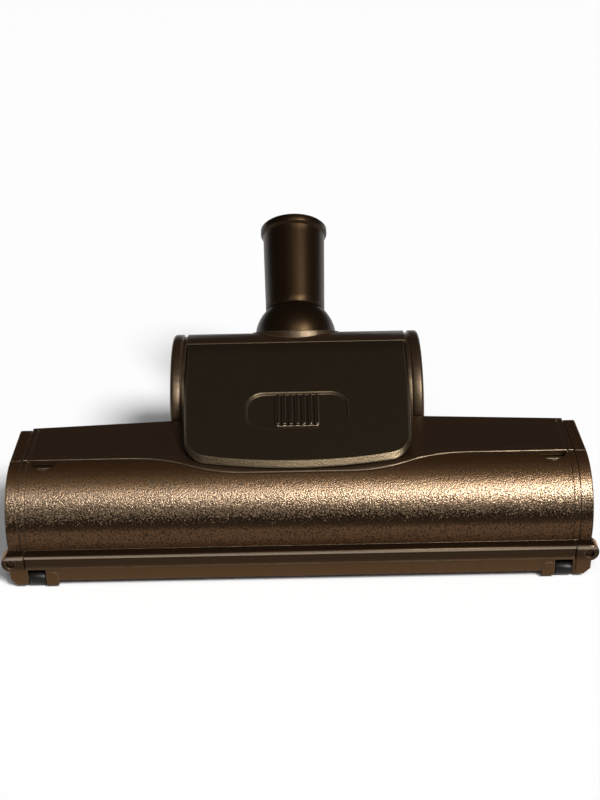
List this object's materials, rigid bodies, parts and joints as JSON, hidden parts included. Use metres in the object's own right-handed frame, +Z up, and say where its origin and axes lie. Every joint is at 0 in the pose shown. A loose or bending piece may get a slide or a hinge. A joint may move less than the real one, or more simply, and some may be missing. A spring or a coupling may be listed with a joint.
{
  "type": "vacuum floor brush head",
  "caption": "Wide vacuum floor brush head with a round hood, air turbine drum, belt-driven brush roller, and a tilting, swivelling neck for a wand.",
  "frame": {"origin": "on the floor, in the middle of the overall width and depth", "axes": "+X along the brush roller to the right seen from the front, +Y from the front bumper to the neck, +Z up from the floor"},
  "size_m": [0.3, 0.2014, 0.1321],
  "materials": {
    "body_plastic": "fine matt moulded texture",
    "hood_plastic": "spark-eroded grain with a warm sheen",
    "cover_plastic": "fine matt moulded texture",
    "bumper_plastic": "smooth, slightly glossy",
    "neck_plastic": "smooth satin",
    "roller_plastic": "smooth",
    "bristle_nylon": "bundles of stiff fibre",
    "pulley_plastic": "natural moulded",
    "turbine_plastic": "natural moulded",
    "belt_rubber": "matt",
    "steel": "turned"
  },
  "bodies": {
    "housing": {"upper_housing": "body_plastic", "lower_housing": "body_plastic", "front_hood": "hood_plastic", "turbine_cover": "cover_plastic", "bumper_strip": "bumper_plastic", "base_screws": "steel", "drive_belt": "belt_rubber", "right_end_cap": "hood_plastic", "left_end_cap": "hood_plastic", "right_turbine_cheek": "body_plastic", "left_turbine_cheek": "body_plastic", "right_corner_buffer": "bumper_plastic", "left_corner_buffer": "bumper_plastic", "right_brush_bush": "pulley_plastic", "left_brush_bush": "pulley_plastic", "right_turbine_bush": "pulley_plastic", "left_turbine_bush": "pulley_plastic", "right_front_axle": "steel", "left_front_axle": "steel", "right_wheel_axle": "steel", "left_wheel_axle": "steel"},
    "slide": {"slide_grip": "cover_plastic", "slide_plate": "body_plastic"},
    "brush": {"brush_core": "roller_plastic", "bristle_tufts": "bristle_nylon", "brush_pulley": "pulley_plastic"},
    "turbine": {"turbine_wheel": "turbine_plastic", "turbine_shaft": "steel", "turbine_pulley": "pulley_plastic"},
    "neck": {"neck_knuckle": "neck_plastic", "swivel_ring": "pulley_plastic"},
    "tube": {"swivel_tube": "neck_plastic"},
    "right_lock": {"right_hood_lock": "body_plastic"},
    "left_lock": {"left_hood_lock": "body_plastic"},
    "right_roller": {"right_front_roller": "roller_plastic"},
    "left_roller": {"left_front_roller": "roller_plastic"},
    "right_wheel": {"right_rear_wheel": "roller_plastic"},
    "left_wheel": {"left_rear_wheel": "roller_plastic"}
  },
  "joints": [
    {"name": "brush_spin", "type": "hinge", "parent": "housing", "child": "brush", "pos_m": [0, -0.06617, 0.0251], "axis": [1, 0, 0], "continuous": true},
    {"name": "turbine_spin", "type": "hinge", "parent": "housing", "child": "turbine", "pos_m": [0, -0.00067, 0.0354], "axis": [1, 0, 0], "continuous": true},
    {"name": "neck_tilt", "type": "hinge", "parent": "housing", "child": "neck", "pos_m": [0, 0.03578, 0.07166], "axis": [1, 0, 0], "range_deg": [-30, 45]},
    {"name": "neck_swivel", "type": "hinge", "parent": "neck", "child": "tube", "pos_m": [0, 0.03578, 0.07166], "axis": [0, 0.749, 0.6626], "continuous": true},
    {"name": "slide_travel", "type": "slide", "parent": "housing", "child": "slide", "axis": [1, 0, 0], "range_m": [-0.008, 0.008]},
    {"name": "right_lock_turn", "type": "hinge", "parent": "housing", "child": "right_lock", "pos_m": [0.129, -0.06807, 0.0549], "axis": [0, 0, 1], "range_deg": [0, 90]},
    {"name": "left_lock_turn", "type": "hinge", "parent": "housing", "child": "left_lock", "pos_m": [-0.129, -0.06807, 0.0549], "axis": [0, 0, 1], "range_deg": [-90, 0]},
    {"name": "right_roller_spin", "type": "hinge", "parent": "housing", "child": "right_roller", "pos_m": [0.1326, -0.09681, 0.0038], "axis": [1, 0, 0], "continuous": true},
    {"name": "left_roller_spin", "type": "hinge", "parent": "housing", "child": "left_roller", "pos_m": [-0.1326, -0.09681, 0.0038], "axis": [1, 0, 0], "continuous": true},
    {"name": "right_wheel_spin", "type": "hinge", "parent": "housing", "child": "right_wheel", "pos_m": [0.045, 0.04726, 0.009], "axis": [1, 0, 0], "continuous": true},
    {"name": "left_wheel_spin", "type": "hinge", "parent": "housing", "child": "left_wheel", "pos_m": [-0.045, 0.04726, 0.009], "axis": [1, 0, 0], "continuous": true}
  ],
  "couplings": [
    {"joint": "turbine_spin", "follows": "brush_spin", "ratio": 1.5714}
  ]
}
